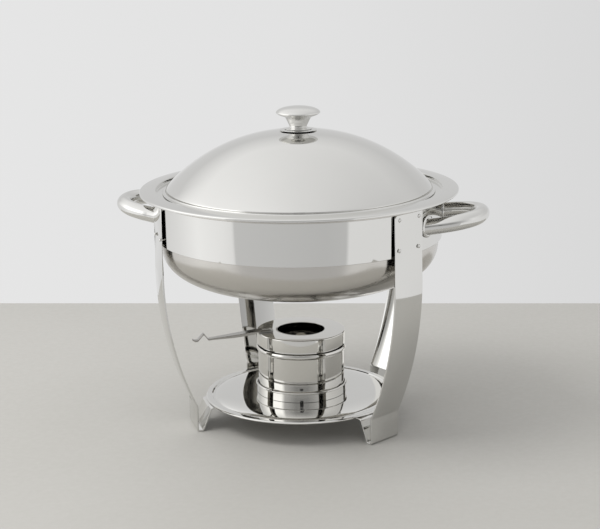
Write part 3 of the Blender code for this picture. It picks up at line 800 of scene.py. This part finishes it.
def make_table():
    """Pale table top, with its far edge behind the dish."""
    size = (TABLE_RIGHT - TABLE_LEFT, TABLE_NEAR - TABLE_FAR, TABLE_THICK)
    centre = to_world(0.5 * (TABLE_LEFT + TABLE_RIGHT), 0.5 * (TABLE_FAR + TABLE_NEAR),
                      -0.5 * TABLE_THICK)
    table = softened_block("table_top", size, 0.003, centre, CAMERA_AZIMUTH - TABLE_TURN)
    material, tree, shader = nodes_of("pale_table")
    place = object_vector(tree)
    patch = noise(tree, place, 2.5, 4.0)
    grain = noise(tree, place, 160.0, 3.0)
    tree.links.new(blended(tree, patch, (0.425, 0.415, 0.385), (0.475, 0.465, 0.44)),
                   shader.inputs["Base Color"])
    tree.links.new(ranged(tree, grain, 0.45, 0.60), shader.inputs["Roughness"])
    tree.links.new(bumped(tree, grain, 0.0001, 0.2), shader.inputs["Normal"])
    table.data.materials.append(material)


def make_viewer():
    """Dark block where the camera stands, which the polished steel mirrors."""
    place = to_world(0.0, CAMERA_DISTANCE + 0.15, CAMERA_HEIGHT + 0.02)
    block = softened_block("camera_block", CAMERA_BLOCK, 0.02, place, CAMERA_AZIMUTH)
    block.visible_camera = False
    block.visible_diffuse = False
    material, tree, shader = nodes_of("black_cloth")
    weave = noise(tree, object_vector(tree), 300.0, 2.0)
    tree.links.new(blended(tree, weave, (0.010, 0.010, 0.010), (0.020, 0.020, 0.020)),
                   shader.inputs["Base Color"])
    shader.inputs["Roughness"].default_value = 0.9
    block.data.materials.append(material)


def stepped(tree, value, stops):
    """Colour ramp of grey levels over a value from 0 to 1."""
    node = tree.nodes.new("ShaderNodeValToRGB")
    ramp = node.color_ramp
    for place, level in stops[1:-1]:
        ramp.elements.new(place).color = (level, level, level, 1.0)
    ramp.elements[0].position = stops[0][0]
    ramp.elements[0].color = (stops[0][1],) * 3 + (1.0,)
    ramp.elements[-1].position = stops[-1][0]
    ramp.elements[-1].color = (stops[-1][1],) * 3 + (1.0,)
    tree.links.new(value, node.inputs["Fac"])
    return node.outputs["Color"]


def crossed(tree, factor, first, second):
    """Mix of two colours by a linked factor."""
    node = tree.nodes.new("ShaderNodeMix")
    node.data_type = "RGBA"
    tree.links.new(factor, node.inputs["Factor"])
    tree.links.new(first, node.inputs["A"])
    tree.links.new(second, node.inputs["B"])
    return node.outputs["Result"]


def leaning(tree, direction, axis):
    """How far a direction leans along an axis, from -1 to 1."""
    node = tree.nodes.new("ShaderNodeVectorMath")
    node.operation = "DOT_PRODUCT"
    node.inputs[1].default_value = axis
    tree.links.new(direction, node.inputs[0])
    return node.outputs["Value"]


def make_world():
    """Studio all round: pale wall behind the dish, bright sides, darker room in front."""
    world = bpy.data.worlds.new("studio")
    bpy.context.scene.world = world
    world.use_nodes = True
    tree = world.node_tree
    backdrop = tree.nodes["Background"]
    direction = tree.nodes.new("ShaderNodeTexCoord").outputs["Generated"]
    right = leaning(tree, direction, to_world(1.0, 0.0, 0.0))
    towards = leaning(tree, direction, to_world(0.0, 1.0, 0.0))
    up = leaning(tree, direction, (0.0, 0.0, 1.0))
    turn = tree.nodes.new("ShaderNodeMath")
    turn.operation = "ARCTAN2"
    tree.links.new(right, turn.inputs[0])
    tree.links.new(towards, turn.inputs[1])
    round_about = ranged(tree, turn.outputs["Value"], 0.0, 1.0, -math.pi, math.pi)
    low, middle = (stepped(tree, round_about, [(degrees / 360.0 + 0.5, level / STUDIO_STRENGTH)
                                               for degrees, level in levels])
                   for levels in (LOW_LEVELS, MIDDLE_LEVELS))
    high = stepped(tree, ranged(tree, right, 0.0, 1.0, -1.0, 1.0),
                   [(0.5 + 0.5 * lean, level / STUDIO_STRENGTH) for lean, level in HIGH_LEVELS])
    sides = crossed(tree, ranged(tree, up, 0.0, 1.0, *LOW_TO_MIDDLE), low, middle)
    studio = crossed(tree, ranged(tree, up, 0.0, 1.0, *MIDDLE_TO_HIGH), sides, high)
    tree.links.new(studio, backdrop.inputs["Color"])
    backdrop.inputs["Strength"].default_value = STUDIO_STRENGTH


def make_light():
    """Softbox above the left, which lights the table and isn't mirrored in the steel."""
    data = bpy.data.lights.new("overhead_softbox", "AREA")
    data.shape = "RECTANGLE"
    data.size = KEY_SIZE
    data.size_y = KEY_SIZE
    data.energy = KEY_POWER
    light = bpy.data.objects.new("overhead_softbox", data)
    light.location = to_world(*KEY_PLACE)
    light.rotation_euler = (KEY_TARGET - light.location).to_track_quat("-Z", "Y").to_euler()
    light.visible_camera = False
    light.visible_glossy = False
    bpy.context.scene.collection.objects.link(light)


def make_camera():
    data = bpy.data.cameras.new("camera")
    data.lens = CAMERA_LENS
    data.sensor_width = 36.0
    data.clip_start = 0.05
    camera = bpy.data.objects.new("camera", data)
    camera.location = to_world(0.0, CAMERA_DISTANCE, CAMERA_HEIGHT)
    tilt = math.radians(90.0 - CAMERA_PITCH)
    aim = Euler((tilt, 0.0, math.radians(CAMERA_AZIMUTH))).to_matrix()
    roll = Matrix.Rotation(math.radians(-CAMERA_ROLL), 3, "Z")
    camera.rotation_euler = (aim @ roll).to_euler()
    bpy.context.scene.collection.objects.link(camera)
    bpy.context.scene.camera = camera
    bpy.context.scene.view_settings.view_transform = "Standard"


# ---------------------------------------------------------------- assembly
make_camera()
make_world()
make_light()
make_table()
make_viewer()
make_lid()
make_food_pan()
make_water_pan()
make_band()
strap = leg_path()
for leg_name, leg_azimuth in LEG_AZIMUTHS.items():
    make_leg(leg_name, leg_azimuth, strap)
    make_leg_rivets(leg_name, leg_azimuth)
make_handle("handle_right", 90.0)
make_handle("handle_left", -90.0)
make_tray()
make_collar()
make_cup()
make_cap()
make_lever()
